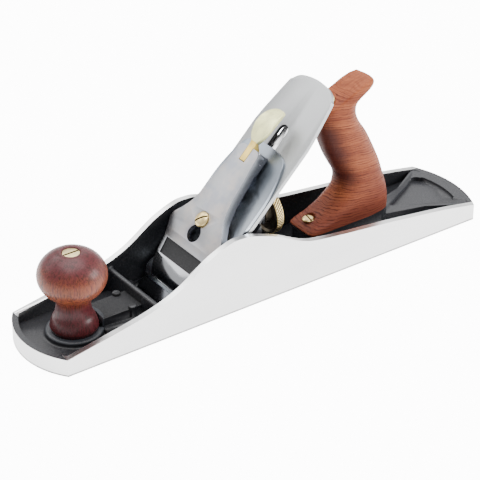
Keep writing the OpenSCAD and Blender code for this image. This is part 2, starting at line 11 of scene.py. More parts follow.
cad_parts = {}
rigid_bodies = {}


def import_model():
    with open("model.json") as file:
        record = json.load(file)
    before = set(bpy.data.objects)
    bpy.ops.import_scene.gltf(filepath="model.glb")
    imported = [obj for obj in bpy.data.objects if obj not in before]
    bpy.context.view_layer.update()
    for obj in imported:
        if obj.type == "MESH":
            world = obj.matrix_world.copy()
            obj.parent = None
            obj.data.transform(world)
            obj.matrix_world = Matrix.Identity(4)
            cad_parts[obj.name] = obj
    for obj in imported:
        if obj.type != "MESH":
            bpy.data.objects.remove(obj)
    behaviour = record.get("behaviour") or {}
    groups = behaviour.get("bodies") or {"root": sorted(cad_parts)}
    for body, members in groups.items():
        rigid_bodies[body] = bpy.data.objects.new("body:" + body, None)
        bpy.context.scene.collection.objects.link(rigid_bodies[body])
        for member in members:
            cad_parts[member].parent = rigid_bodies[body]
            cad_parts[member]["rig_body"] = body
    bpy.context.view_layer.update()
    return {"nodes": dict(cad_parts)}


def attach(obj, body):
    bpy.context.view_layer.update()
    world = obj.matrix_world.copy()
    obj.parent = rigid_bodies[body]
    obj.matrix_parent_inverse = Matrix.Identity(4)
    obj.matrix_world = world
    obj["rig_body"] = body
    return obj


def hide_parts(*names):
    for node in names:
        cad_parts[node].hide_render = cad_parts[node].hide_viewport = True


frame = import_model()

# Body casting. Grey iron, cast in one with its walls, knob boss, plate, cross rib, frog seat and
# heel deck. The sole, sides, ends and wall tops are ground bright; the inside has baked black
# japanning, and its free-standing cast shapes have soft edges.
MM = 0.001
BED_SIN = math.sqrt(0.5)
HALF_WIDTH, WALL_IN = 36.5, 32.0
TOE_AT, TOE_R = -131.9, 57.9
HEEL_AT, HEEL_R = 111.5, 78.0
RIM_FROM, RIM_TO, RIM_LOW = -177.8, 181.8, 12.6
KNOB_X = -150.0
BOSS_R, BOSS_TOP, BOSS_BEHIND = 20.5, 10.5, -134.3
PLATE_FROM, PLATE_TO, PLATE_HALF = -132.0, -101.0, 11.0
LUG_X, LUG_Y, LUG_R, LUG_TOP = -109.0, 10.4, 3.2, 18.0
RIB_X, RIB_HALF = -100.0, 2.4
DECK_AT, DECK_R, DECK_FROM, DECK_LOW = 112.0, 73.0, 119.0, 20.0


class Value:
    """One output socket of a node tree. Python's operators on it add Math nodes."""
    tree = None

    def __init__(self, socket):
        self.socket = socket

    @staticmethod
    def node(kind, settings, inputs, out=0):
        """A node from its type, settings and inputs: its output called out, or all for None."""
        n = Value.tree.nodes.new(kind)
        for key, value in settings.items():
            setattr(n, key, value)
        for key, value in inputs.items():
            put(value, n.inputs[key])
        return [Value(socket) for socket in n.outputs] if out is None else Value(n.outputs[out])

    def op(self, operation, *others):
        inputs = dict(enumerate((self, *others)))
        return Value.node("ShaderNodeMath", {"operation": operation}, inputs)

    def __add__(self, o): return self.op("ADD", o)
    def __sub__(self, o): return self.op("SUBTRACT", o)
    def __mul__(self, o): return self.op("MULTIPLY", o)
    def __neg__(self): return self * -1.0
    def __rsub__(self, o): return -self + o
    __radd__, __rmul__ = __add__, __mul__
    def abs(self): return self.op("ABSOLUTE")
    def sin(self): return self.op("SINE")
    def cos(self): return self.op("COSINE")
    def clip(self, low=0.0, high=1.0): return self.op("MAXIMUM", low).op("MINIMUM", high)

    def step(self, start, end):
        """0 before start, 1 past end, smooth between."""
        return Value.node("ShaderNodeMapRange", {"interpolation_type": "SMOOTHSTEP"},
                          {"Value": self, "From Min": start, "From Max": end})

    def split(self):
        """Its x, y and z."""
        return Value.node("ShaderNodeSeparateXYZ", {}, {0: self}, None)


def put(value, socket):
    """Links or sets value at socket. A colour is given as three numbers."""
    if isinstance(value, Value):
        Value.tree.links.new(value.socket, socket)
    elif socket.type == "RGBA":
        socket.default_value = (*value, 1.0)
    else:
        socket.default_value = value


def vec(x, y, z):
    """A place or direction from its three parts."""
    return Value.node("ShaderNodeCombineXYZ", {}, {0: x, 1: y, 2: z})


def place():
    """x, y, z of the point in millimetres."""
    return [v * 1000.0 for v in Value.node("ShaderNodeTexCoord", {}, {}, "Object").split()]


def bed_place():
    """Up the 45 degree bed, across, and square to the bed, in millimetres."""
    x, y, z = place()
    return (x + z) * BED_SIN, y, (z - x) * BED_SIN


def cloud(p, scale, detail=3.0, rough=0.5):
    """Soft patches, 0 to 1, at place p."""
    return Value.node("ShaderNodeTexNoise", {},
                      {"Vector": p, "Scale": scale, "Detail": detail, "Roughness": rough})


def tint(share, first, second):
    """The first colour, with the second over it by share."""
    return Value.node("ShaderNodeMix", {"data_type": "RGBA"}, {0: share, 6: first, 7: second}, 2)


def bump(height, depth, strength=1.0, under=None):
    """A relief of height times depth mm, on top of the relief under."""
    inputs = {"Strength": strength, "Distance": depth * MM, "Height": height}
    if under is not None:
        inputs["Normal"] = under
    return Value.node("ShaderNodeBump", {}, inputs)


def material(name, paint):
    """A material whose shader sockets get the values or links that paint() returns."""
    m = bpy.data.materials.new(name)
    m.use_nodes = True
    Value.tree = m.node_tree
    shader = Value.tree.nodes["Principled BSDF"]
    for key, value in paint().items():
        put(value, shader.inputs[key])
    return m


def ground_iron():
    # ground on a belt: long fine lines along the sole, faint patches from handling, and a mottled
    # painted shade along the foot
    x, y, z = place()
    fine = cloud(vec(x * 0.02, y * 3.0, z * 3.0), 1.0, 4.0, 0.7)
    broad = cloud(vec(x * 0.006, y * 0.05, z * 0.05), 1.0, 3.0)
    spot = cloud(vec(x, y, z), 0.35, 4.0, 0.6)
    # painted contact shade: the bottom 1.5 mm of the sides and ends darkened, mottled
    foot = z.step(1.5, 0.6) * (0.62 + spot * 0.5)
    col = tint(broad * 0.6 + fine * 0.4, (0.70, 0.70, 0.70), (0.84, 0.84, 0.835))
    return {"Base Color": tint(foot.clip(), col, (0.07, 0.068, 0.065)),
            "Metallic": 1.0, "Roughness": (0.30 + fine * 0.12 + spot * 0.05).clip(0.2, 0.6),
            "Anisotropic": 0.3, "Normal": bump(fine + spot * 0.25, 0.012, 0.5)}


def japanning():
    # black enamel baked on rough iron: sand grain under a soft orange peel, dusty, lighter except
    # on the walls' inner faces, a painted sheen on top of the knob boss, dull on the plate
    x, y, z = place()
    p = vec(x, y, z)
    peel = cloud(p, 0.55, 4.0, 0.55)
    sand = cloud(p, 1.1, 4.0, 0.7)
    dust = cloud(p, 0.05, 4.0, 0.6)
    # lighter everywhere but on the walls' inner faces
    level = y.abs().step(31.6, 30.6)
    plate = (y.abs().step(PLATE_HALF + 0.2, PLATE_HALF - 0.6) * z.step(12.0, 13.0)
             * x.step(PLATE_FROM - 1.0, PLATE_FROM) * x.step(PLATE_TO, PLATE_TO - 1.0))
    out = ((x - KNOB_X) * (x - KNOB_X) + y * y).op("SQRT")
    # painted sheen: the top of the knob boss's ring made grey
    ring = out.step(BOSS_R + 0.4, BOSS_R - 0.3) * out.step(16.0, 17.0) * z.step(8.6, 9.4)
    col = tint(dust * 0.6 + level * 0.4, (0.0045, 0.005, 0.0068), (0.021, 0.022, 0.027))
    col = tint(plate * 0.75, col, (0.003, 0.0032, 0.0042))
    return {"Base Color": tint(ring * 0.85, col, (0.040, 0.046, 0.056)),
            "Roughness": 0.32 + sand * 0.18 + dust * 0.08 + plate * 0.22,
            "Coat Weight": 0.18 - plate * 0.18,
            "Coat Roughness": 0.20, "Specular IOR Level": 0.45,
            "Normal": bump(sand, 0.10, 0.6, bump(peel, 0.40, 0.6))}


def steel(color, rough, lines=True, depth=0.01, metal=1.0):
    # ground or brushed steel, its lines up the bed, or without a direction
    def paint():
        s, y, n = bed_place()
        along, across = (0.02, 3.2) if lines else (1.2, 1.2)
        fine = cloud(vec(s * along, y * across, n * across), 1.0, 4.0, 0.7)
        broad = cloud(vec(s, y, n), 0.045, 3.0)
        mark = cloud(vec(s, y, n), 0.6, 5.0, 0.65)
        return {"Base Color": tint(broad * 0.5 + fine * 0.5, tuple(c * 0.88 for c in color), color),
                "Metallic": metal,
                "Roughness": (rough + fine * 0.10 + mark * 0.06).clip(0.08, 0.8),
                "Normal": bump(fine + mark * 0.3, depth, 0.5)}
    return paint


FINISH = {"ground": material("ground_iron", ground_iron),
          "black": material("japanning", japanning),
          "rim": material("rim_iron", steel((0.97, 0.97, 0.97), 0.22)),
          # painted shade: a dark copy of the ground iron for the rounded outer edge of the wall
          # tops
          "shaded_arris": material("shaded_arris_iron", steel((0.22, 0.22, 0.23), 0.35))}


def skin(ob, *finishes):
    """Gives ob these finishes and no others, in this order of slots."""
    ob.data.materials.clear()
    for finish in finishes:
        ob.data.materials.append(FINISH[finish])


def keep(ob, node, smooth):
    """Shades ob smooth up to an angle and lets it stand for a CAD node, on that node's body."""
    ob.data.polygons.foreach_set("use_smooth", [True] * len(ob.data.polygons))
    ob.data.set_sharp_from_angle(angle=math.radians(smooth))
    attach(ob, frame["nodes"][node]["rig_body"])
    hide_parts(node)


def settle(ob):
    """Turns the modifiers of ob into its mesh."""
    bpy.context.view_layer.update()
    graph = bpy.context.evaluated_depsgraph_get()
    old, finished = ob.data, bpy.data.meshes.new_from_object(ob.evaluated_get(graph))
    ob.modifiers.clear()
    ob.data = finished
    bpy.data.meshes.remove(old)
    return ob


def room(e):
    """How far the faces beside edge e reach from it, next to its ends, in millimetres."""
    d = (e.verts[1].co - e.verts[0].co).normalized()
    least = 1.0
    for v in e.verts:
        for o in v.link_edges:
            if o is not e and set(o.link_faces) & set(e.link_faces):
                u = o.other_vert(v).co - v.co
                away = (u - d * u.dot(d)).length
                if away > 0.3 * u.length:
                    least = min(least, away)
    return least / MM


def middle(e):
    """The middle of edge e, in millimetres."""
    return (e.verts[0].co + e.verts[1].co) / 2 / MM


def machined(node, name, round_mm=0.3, fillet_mm=0.0, seg=2, angle=28.0, pick=None, clamp=True):
    """A merged copy of a CAD node with its outer edges rounded and its inner corners filleted."""
    me = frame["nodes"][node].data.copy()
    me.name = name
    ob = bpy.data.objects.new(name, me)
    bpy.context.scene.collection.objects.link(ob)
    bm = bmesh.new()
    bm.from_mesh(me)
    bmesh.ops.remove_doubles(bm, verts=bm.verts, dist=0.004 * MM)
    bmesh.ops.dissolve_limit(bm, angle_limit=math.radians(0.6), verts=bm.verts, edges=bm.edges)
    weight = bm.edges.layers.float.new("bevel_weight_edge")
    widest = max(round_mm, fillet_mm)
    for e in bm.edges:
        if len(e.link_faces) == 2 and e.calc_face_angle(0.0) > math.radians(angle):
            w = round_mm if e.is_convex else fillet_mm
            if pick is not None:
                w = pick(e, w)
            if not clamp:
                w = min(w, 0.42 * room(e))
            e[weight] = w / widest
    bm.to_mesh(me)
    bm.free()
    mod = ob.modifiers.new("edge", "BEVEL")
    mod.limit_method = "WEIGHT"
    mod.width = widest * MM
    mod.segments = seg
    mod.use_clamp_overlap = clamp
    return settle(ob)


def casting_edges(e, w):
    """Width of the round on an edge: only the knob boss, plate, lugs, rib ends and heel deck."""
    at, across = middle(e), abs(middle(e).y)
    on_boss = abs(math.hypot(at.x - KNOB_X, at.y) - BOSS_R) < 0.5
    if on_boss and at.x < BOSS_BEHIND and at.z < BOSS_TOP:
        return 1.9 if e.is_convex else 1.5
    if math.hypot(at.x - LUG_X, across - LUG_Y) < LUG_R:
        return 0.8 if abs(at.z - LUG_TOP) < 0.05 else 0.0
    on_plate = abs(across - PLATE_HALF) < 0.05 and at.z > 16 and PLATE_FROM < at.x < PLATE_TO
    if e.is_convex and on_plate:
        return 0.6
    if not e.is_convex and abs(at.x - RIB_X) < RIB_HALF and across > WALL_IN - 2 and at.z > 9:
        return 1.6
    on_deck = at.x > DECK_FROM and at.z > DECK_LOW and across < WALL_IN - 1
    if e.is_convex and on_deck and math.hypot(at.x - DECK_AT, at.y) < DECK_R:
        return 0.8
    return 0.0


casting = machined("body_casting", "body", 0.45, 2.4, 4, 25.0, casting_edges, clamp=False)
skin(casting, "ground", "black", "rim", "shaded_arris")
bm = bmesh.new()
bm.from_mesh(casting.data)
for side in (-1, 1):
    # the heel's top is cut in line with the walls, because its ground edge ends there
    deck = [f for f in bm.faces if f.calc_center_median().x > 0.168 and f.normal.z > 0.5]
    edges, corners = {e for f in deck for e in f.edges}, {v for f in deck for v in f.verts}
    bmesh.ops.bisect_plane(bm, geom=deck + list(edges) + list(corners), dist=1e-6,
                           plane_co=(0, side * (WALL_IN + 0.02) * MM, 0), plane_no=(0, 1, 0))
bm.to_mesh(casting.data)
bm.free()
for f in casting.data.polygons:
    c, n = f.center / MM, f.normal
    toe_end = math.hypot(c.x - TOE_AT, c.y) > TOE_R and c.x < -140
    heel_end = math.hypot(c.x - HEEL_AT, c.y) > HEEL_R and c.x > 150
    outside = abs(c.y) > HALF_WIDTH - 0.5 or c.z < 0.4 or toe_end or heel_end
    rim = abs(c.y) > WALL_IN + 0.05 and n.z > 0.5 and c.z > RIM_LOW and RIM_FROM < c.x < RIM_TO
    # the rounded outer edge of the wall tops gets the painted shade
    shaded_arris = abs(c.y) > HALF_WIDTH - 0.45 and 0.3 < n.z < 0.92 and c.z > 12
    f.material_index = 3 if shaded_arris else 2 if rim and n.z > 0.7 else 0 if outside or rim else 1
keep(casting, "body_casting", 32)

# Front knob and its stud. Turned from a dark red, oiled and polished hardwood: foot, neck and a
# flattened ball, counterbored for the nut. A steel stud from the casting's boss runs up its middle.
SEAM_JOIN = 0.001
KNOB_AXIS = Matrix.Translation((KNOB_X * MM, 0, 0))
BALL_R, BALL_Z, BALL_HALF = 24.4, 52.6, 19.2
STUD_HOLE, NUT_HOLE, HEAD_HOLE = 3.2, 4.4, 6.3


def cells(p, scale):
    """Distance to the nearest of scattered points: small at pores and stipples."""
    return Value.node("ShaderNodeTexVoronoi", {}, {"Vector": p, "Scale": scale}, "Distance")


def knob_wood():
    # deep red on top and at the foot, warmer with upright streaks below the widest line
    x, y, z = place()
    x = x - KNOB_X
    wave = cloud(vec(x, y, z), 0.05, 3.0) * 8.0
    streak = cloud(vec(x * 0.42, y * 0.42, (z + wave) * 0.035), 1.0, 4.0, 0.65)
    hair = cloud(vec(x * 1.1, y * 1.1, z * 0.07), 1.0, 3.0, 0.6)
    patch = cloud(vec(x, y, z), 0.09, 4.0, 0.6)
    pore = 1.0 - cells(vec(x * 1.1, y * 1.1, z * 0.22), 1.0).step(0.06, 0.22)
    belly = (z + patch * 14.0).step(75.0, 58.0) * (z + patch * 8.0).step(32.0, 44.0)
    light = (belly * (0.35 + streak.step(0.35, 0.65) * 0.85) + streak.step(0.5, 0.8) * 0.10).clip()
    col = tint(light, (0.105, 0.017, 0.021), (0.340, 0.092, 0.036))
    col = tint(streak.step(0.50, 0.62) * 0.72, col, (0.034, 0.006, 0.006))
    col = tint(hair.step(0.48, 0.62) * 0.55, col, (0.040, 0.008, 0.007))
    col = tint(pore * 0.25, col, (0.020, 0.006, 0.005))
    return {"Base Color": col, "Roughness": 0.36 + patch * 0.12 + pore * 0.12,
            "Coat Weight": 0.12, "Coat Roughness": 0.22, "Specular IOR Level": 0.28,
            "Normal": bump(streak * 0.5 + hair * 0.5 - pore * 0.9, 0.06, 0.6)}


FINISH["knob_wood"] = material("knob_wood", knob_wood)
FINISH["steel"] = material("turned_steel", steel((0.60, 0.61, 0.62), 0.28, lines=False))


def new_object(name, verts, faces, edges=()):
    """An object at the origin from points in millimetres."""
    me = bpy.data.meshes.new(name)
    me.from_pydata([(x * MM, y * MM, z * MM) for x, y, z in verts], edges, faces)
    me.validate()
    ob = bpy.data.objects.new(name, me)
    bpy.context.scene.collection.objects.link(ob)
    return ob


def turning_tree():
    """Geometry Nodes: turns a closed outline in the xz plane about the z axis, and presses two
    slanted sets of grooves into what lies beyond Rim. Its inputs are in metres."""
    tree = bpy.data.node_groups.new("turned_body", "GeometryNodeTree")
    tree.is_modifier = True
    for name, kind in (("Outline", "Geometry"), ("Finish", "Material"), ("Turns", "Int"),
                       ("Rim", "Float"), ("Teeth", "Float"), ("Lean", "Float"), ("Depth", "Float")):
        tree.interface.new_socket(name, in_out="INPUT", socket_type="NodeSocket" + kind)
    tree.interface.new_socket("Body", in_out="OUTPUT", socket_type="NodeSocketGeometry")
    Value.tree = tree
    given = {v.socket.name: v for v in Value.node("NodeGroupInput", {}, {}, None)}
    outline, turns = given["Outline"], given["Turns"]
    rows = Value.node("GeometryNodeAttributeDomainSize", {"component": "MESH"},
                      {"Geometry": outline}, "Point Count")
    grid = Value.node("GeometryNodeMeshGrid", {},
                      {"Size X": turns, "Size Y": rows,
                       "Vertices X": turns + 1.0, "Vertices Y": rows + 1.0})
    at = Value.node("GeometryNodeInputPosition", {}, {})
    column, row = at.split()[:2]
    angle = ((column + turns * 0.5).op("ROUND") * (2 * math.pi)).op("DIVIDE", turns)
    row = (row + rows * 0.5).op("ROUND").op("MODULO", rows)
    point = Value.node("GeometryNodeSampleIndex", {"data_type": "FLOAT_VECTOR"},
                       {"Geometry": outline, "Value": at, "Index": row}).split()
    r, z = point[0], point[2]
    round_ways, up = angle * given["Teeth"], z * given["Lean"]
    groove = (round_ways + up).cos() * 1.3 + (round_ways - up).cos() * 0.7 + 2.0
    r = r - groove * given["Depth"] * r.op("GREATER_THAN", given["Rim"])
    body = Value.node("GeometryNodeSetPosition", {},
                      {"Geometry": grid, "Position": vec(r * angle.cos(), r * angle.sin(), z)})
    body = Value.node("GeometryNodeMergeByDistance", {},
                      {"Geometry": body, "Distance": SEAM_JOIN * MM})
    body = Value.node("GeometryNodeRealizeInstances", {}, {"Geometry": body})
    body = Value.node("GeometryNodeSetMaterial", {},
                      {"Geometry": body, "Material": given["Finish"]})
    Value.node("NodeGroupOutput", {}, {"Body": body}, None)
    return tree


TURNING = turning_tree()


def turned(name, outline, finish, turns, **knurl):
    """A piece turned from a closed (r, z) outline, about the z axis."""
    n = len(outline)
    ob = new_object(name, [(r, 0, z) for r, z in outline], [], [(k, (k + 1) % n) for k in range(n)])
    mod = ob.modifiers.new("lathe", "NODES")
    mod.node_group = TURNING
    sockets = {item.name: item.identifier for item in TURNING.interface.items_tree}
    for key, value in {"Finish": FINISH[finish], "Turns": turns, **knurl}.items():
        mod[sockets[key]] = value
    skin(settle(ob), finish)
    return ob


def shift(ob, matrix):
    """Moves the mesh of ob, so that the object stays at the origin."""
    ob.data.transform(matrix)
    return ob


def curve(points, k):
    """Smooth curve through points, k steps to a stretch."""
    p = np.array(points, float)
    out = []
    for i in range(len(p) - 1):
        a, b, c, d = p[max(i - 1, 0)], p[i], p[i + 1], p[min(i + 2, len(p) - 1)]
        for t in np.arange(k) / k:
            out.append(0.5 * (2 * b + (c - a) * t + (2 * a - 5 * b + 4 * c - d) * t * t
                              + (3 * b - a - 3 * c + d) * t ** 3))
    return np.array(out + [p[-1]])


foot = curve([[15.8, 10.25], [17, 12.5], [16.9, 14], [16, 17.2], [15, 20], [13.5, 22.8],
              [12.4, 26.7], [12.1, 30], [12.3, 33], [13.2, 35.6]], 5)
ball = [(BALL_R * math.cos(math.radians(a)), BALL_Z + BALL_HALF * math.sin(math.radians(a)))
        for a in range(-56, 73, 3)]
bores = [(6.95, 70.72), (6.5, 70.5), (HEAD_HOLE, 70.2), (HEAD_HOLE, 67.4), (NUT_HOLE, 67.4),
         (NUT_HOLE, 54), (STUD_HOLE, 54), (STUD_HOLE, 10.25)]
knob = turned("knob", bores[-1:] + [tuple(p) for p in foot] + ball + bores[:-1], "knob_wood", 128)
keep(shift(knob, KNOB_AXIS), "front_knob", 35)
skin(frame["nodes"]["knob_stud"], "steel")

# Tote and its stud. Sawn and shaped from red-brown hardwood, oiled: level rings between a front
# and a back outline, squarer at the toe and at the horn. It is bored for a stud through the grip
# and for a screw through the toe.
FRONT = curve([[20.5, 44], [22.5, 44], [27.6, 51.8], [32, 60], [37, 67], [42, 72.3], [48, 75.6],
               [54, 76.6], [60, 75], [66, 71.4], [76, 66], [86.5, 61.6], [96, 58.5], [106, 57],
               [113, 57.5], [116.2, 59.2], [118.3, 63.6], [120.4, 68.6], [124.2, 77.4],
               [127.3, 84.4], [129.6, 91], [130.9, 96.5], [131.3, 99]], 6)
BACK = curve([[20.5, 121], [28, 121.5], [39, 119.8], [54, 115], [66, 110.6], [86.5, 100.7],
              [98, 93.2], [104.7, 90], [110, 89.7], [115, 91.8], [119, 96.4], [121.6, 100.6],
              [124, 103.6], [126.4, 105.2], [128.6, 105], [130.4, 103.3], [131.3, 101.3]], 6)
TOTE_FOOT, TOTE_TOP = 20.5, 131.3
GRIP_X, GRIP_LEAN, TOE_X = 101.0, -19.4, 51.8
GRIP_AXIS = (Matrix.Translation((GRIP_X * MM, 0, TOTE_FOOT * MM))
             @ Matrix.Rotation(math.radians(GRIP_LEAN), 4, "Y"))
TOE_AXIS = Matrix.Translation((TOE_X * MM, 0, 0))
RING = 96


def tote_wood():
    # dense red-brown wood: fine dark lines lie almost level, waved by the figure, with short pores;
    # painted shade on the front of the grip, darker at the foot, open grain on top of the horn
    x, y, z = place()
    wave = cloud(vec(x * 0.030, y * 0.05, z * 0.028), 1.0, 3.0) * 7.0
    lift = z + wave + x * 0.10 + y * 0.05
    broad = cloud(vec(x * 0.010, y * 0.02, lift * 0.11), 1.0, 3.0, 0.5)
    ring = cloud(vec(x * 0.016, y * 0.03, lift * 0.42), 1.0, 5.0, 0.65)
    bend = cloud(vec(x * 0.03, y * 0.05, lift * 0.12), 1.0, 4.0, 0.6) * 14.0
    horn = z.step(123.5, 127.0)
    level = 1.0 - horn * 0.85
    line = (lift * 3.3 + bend).sin().step(0.45, 1.0) * level
    hair = (lift * 7.3 + bend * 1.7).sin().step(0.2, 1.0) * level
    top = cloud(vec(x * 0.05, y * 0.85, z * 0.2), 1.0, 4.0, 0.6).step(0.42, 0.7) * horn
    gap = cloud(vec(x * 0.10, y * 0.16, lift * 0.45), 1.0, 3.0, 0.6).step(0.34, 0.62)
    pore = 1.0 - cells(vec(x * 0.22, y * 0.9, lift * 1.1), 1.0).step(0.06, 0.2)
    warm = (ring.step(0.34, 0.64) * 0.6 + broad.step(0.3, 0.7) * 0.4).clip()
    grip = z.step(44.0, 58.0) * z.step(118.0, 98.0)
    # painted shade on the front of the grip, which faces the iron
    front = (x + z * 0.38 + broad * 7.0).step(117.0, 101.0) * grip * 0.88
    low = (z + broad * 24.0 - x * 0.30).step(44.0, 14.0) * 0.62
    col = tint(warm, (0.230, 0.052, 0.022), (0.470, 0.138, 0.054))
    col = tint(low, col, (0.150, 0.036, 0.031))
    col = tint(front, col, (0.036, 0.006, 0.008))
    col = tint(line * gap * 0.85, col, (0.060, 0.011, 0.008))
    col = tint(hair * 0.42, col, (0.100, 0.020, 0.010))
    col = tint(top * 0.45, col, (0.150, 0.036, 0.018))
    col = tint(pore * 0.5, col, (0.045, 0.009, 0.005))
    return {"Base Color": col, "Roughness": 0.46 + line * 0.10 + pore * 0.15 + broad * 0.06,
            "Specular IOR Level": 0.16,
            "Normal": bump(ring * 0.3 - line * 0.5 - pore * 0.7, 0.06, 0.5)}


FINISH["tote_wood"] = material("tote_wood", tote_wood)


def tote_ring(z):
    """The outline of the tote at height z, as one ring of points."""
    a, b = np.interp(z, FRONT[:, 0], FRONT[:, 1]), np.interp(z, BACK[:, 0], BACK[:, 1])
    half = np.interp(z, [100, 108, 115, 121, 128, 130.2, 131.3],
                     [14.3, 13.7, 12.5, 11.9, 11.7, 11.1, 9.8])
    front = np.interp(z, [20.5, 23, 27, 34, 46, 104, 112, 117], [12, 9, 4, 3, 2.3, 2.3, 3.4, 7])
    back = np.interp(z, [20.5, 30, 46, 104, 112], [3.2, 2.8, 2.3, 2.2, 2])
    points = []
    for i in range(RING):
        t = (i + 0.5) * 2 * math.pi / RING
        c, s = math.cos(t), math.sin(t)
        power = 2 / (front if c < 0 else back)
        points.append(((a + b) / 2 + (b - a) / 2 * math.copysign(abs(c) ** power, c),
                       half * math.copysign(abs(s) ** power, s), z))
    return points


levels = np.concatenate([np.linspace(TOTE_FOOT, 28, 14), np.linspace(28, 112, 70),
                         np.linspace(112, TOTE_TOP, 56)])
levels = sorted(set(np.round(levels, 3)))
tote_verts = [point for z in levels for point in tote_ring(z)]
tote_faces = [tuple(range(RING - 1, -1, -1)),
              tuple((len(levels) - 1) * RING + i for i in range(RING))]
for low in range(0, (len(levels) - 1) * RING, RING):
    for i in range(RING):
        j = (i + 1) % RING
        tote_faces.append((low + i, low + j, low + RING + j, low + RING + i))
tote = new_object("tote_wood_piece", tote_verts, tote_faces)


def bore(target, low, high, r, axis):
    """Drills a hole of radius r from low to high along the z of axis."""
    bm = bmesh.new()
    bmesh.ops.create_cone(bm, cap_ends=True, segments=64, radius1=r * MM, radius2=r * MM,
                          depth=(high - low) * MM,
                          matrix=axis @ Matrix.Translation((0, 0, (low + high) / 2 * MM)))
    me = bpy.data.meshes.new("bore")
    bm.to_mesh(me)
    bm.free()
    tool = bpy.data.objects.new("bore", me)
    bpy.context.scene.collection.objects.link(tool)
    mod = target.modifiers.new("bore", "BOOLEAN")
    mod.operation = "DIFFERENCE"
    mod.solver = "EXACT"
    mod.object = tool
    settle(target)
    bpy.data.objects.remove(tool)


bore(tote, -5, 130, 3.3, GRIP_AXIS)
bore(tote, 103.5, 130, HEAD_HOLE, GRIP_AXIS)
bore(tote, 81.6, 104, NUT_HOLE, GRIP_AXIS)
bore(tote, 15, 30, 2.6, TOE_AXIS)
bore(tote, 26.4, 40, 5.1, TOE_AXIS)
skin(tote, "tote_wood")
keep(tote, "tote", 38)
skin(frame["nodes"]["tote_stud"], "steel")

# Barrel nuts, toe screw and lever cap screw. Turned brass with broken edges and a sawn slot, the
# slot painted dark as shade. The nuts hold knob and tote on their studs. Each axis here has its z
# along the screw and its x along the slot.
BED_X, CAP_SCREW_S = -76.7, 65.8


def brass(color, rough):
    def paint():
        p = vec(*place())
        turn = cloud(p, 1.4, 4.0, 0.7)
        stain = cloud(p, 0.12, 4.0, 0.6)
        return {"Base Color": tint(stain.step(0.35, 0.7), color, tuple(c * 0.72 for c in color)),
                "Metallic": 1.0, "Roughness": (rough + stain * 0.16 + turn * 0.06).clip(0.1, 0.8),
                "Normal": bump(turn, 0.012, 0.5)}
    return paint


FINISH["brass"] = material("turned_brass", brass((0.88, 0.68, 0.32), 0.22))
# painted highlight: a brighter copy of the turned brass for the knob's nut
FINISH["brightened_nut_brass"] = material("brightened_nut_brass", brass((1.0, 0.81, 0.42), 0.24))
# painted shade for the faces inside the driver slots
FINISH["painted_slot_shade"] = material("shaded_driver_slots", brass((0.10, 0.07, 0.035), 0.55))


def up_bed(s, n):
    """A place s up the bed and n above it, with its z square to the bed."""
    at = ((BED_X + (s - n) * BED_SIN) * MM, 0, (s + n) * BED_SIN * MM)
    return Matrix.Translation(at) @ Matrix.Rotation(math.radians(-45), 4, "Y")


def slotted(node, name, finish, edge, axis, half, deep, spin=0.0):
    """A slotted piece turned by spin degrees; its slot is 2 * half wide and deep mm deep."""
    ob = machined(node, name, edge)
    turn = axis @ Matrix.Rotation(math.radians(spin), 4, "Z") @ axis.inverted()
    shift(ob, turn)
    local = (turn @ axis).inverted()
    head = max((local @ v.co).z for v in ob.data.vertices) / MM
    # the slot's faces get the painted shade
    skin(ob, finish, "painted_slot_shade")
    for f in ob.data.polygons:
        c = local @ f.center / MM
        in_slot = abs(c.y) < half + 0.04 and head - deep - 0.05 < c.z < head - 0.15
        f.material_index = 1 if in_slot else 0
    keep(ob, node, 35)


slotted("knob_nut", "knob_nut_brass", "brightened_nut_brass", 0.25, KNOB_AXIS, 0.8, 1.2)
slotted("tote_nut", "tote_nut_brass", "brass", 0.25, GRIP_AXIS, 0.8, 1.2)
slotted("tote_toe_screw", "toe_screw_brass", "brass", 0.18,
        TOE_AXIS @ Matrix.Rotation(math.radians(80), 4, "Z"), 0.6, 0.9)
slotted("lever_cap_screw", "cap_screw_brass", "brass", 0.18, up_bed(CAP_SCREW_S, 0), 0.65, 1.7,
        spin=-42.5)

# Frog and the fittings that hold and shift it. An iron casting, japanned, with its bed face and its
# foot ground. Two pins with setscrews hold it on its seat, and a screw with a forked steel plate
# moves it; the depth wheel's stud and the yoke's pin are fixed in it.
SEAT_Z = 16.2
FINISH["grey"] = material("grey_steel", steel((0.36, 0.37, 0.39), 0.42, lines=False, depth=0.03))
frog = machined("frog", "frog_cast", 0.5, 1.2, 2)
skin(frog, "black", "ground")
for f in frog.data.polygons:
    c = f.center / MM
    above_bed = (c.z - c.x + BED_X) * BED_SIN
    f.material_index = 1 if above_bed > -0.4 or c.z < SEAT_Z else 0
keep(frog, "frog", 32)
for node in ("frog_pins", "frog_pin_setscrews", "frog_adjusting_screw", "frog_plate_screw",
             "depth_stud", "yoke_pin"):
    skin(frame["nodes"][node], "steel")
skin(frame["nodes"]["frog_adjusting_plate"], "grey")

# Depth wheel and yoke. The wheel is turned from brass, with a dished front painted dark as shade,
# a diamond-knurled rim and a groove. The cast yoke stands in that groove and carries its motion up
# to the cap iron.
WHEEL_Z, DISH_R = 47.0, 15.6
RIM_R, TEETH, LEAN, GROOVE = 16.8, 48, 2.6, 0.15
WHEEL_OUTLINE = ([(3.1, 0.5), (7.2, 0.5), (7.2, 2), (5, 2), (5, 7.5), (7.6, 7.5), (8.2, 12.5),
                  (13.6, 12.5), (15, 11), (16.1, 11), (16.5, 11.4)]
                 + [(RIM_R, 11.7 + 4.9 * i / 20) for i in range(21)]
                 + [(16.5, 16.9), (16.1, 17.3), (14.6, 17.3), (13.4, 15.3), (7, 15.3), (6.6, 18.6),
                    (3.1, 18.6)])


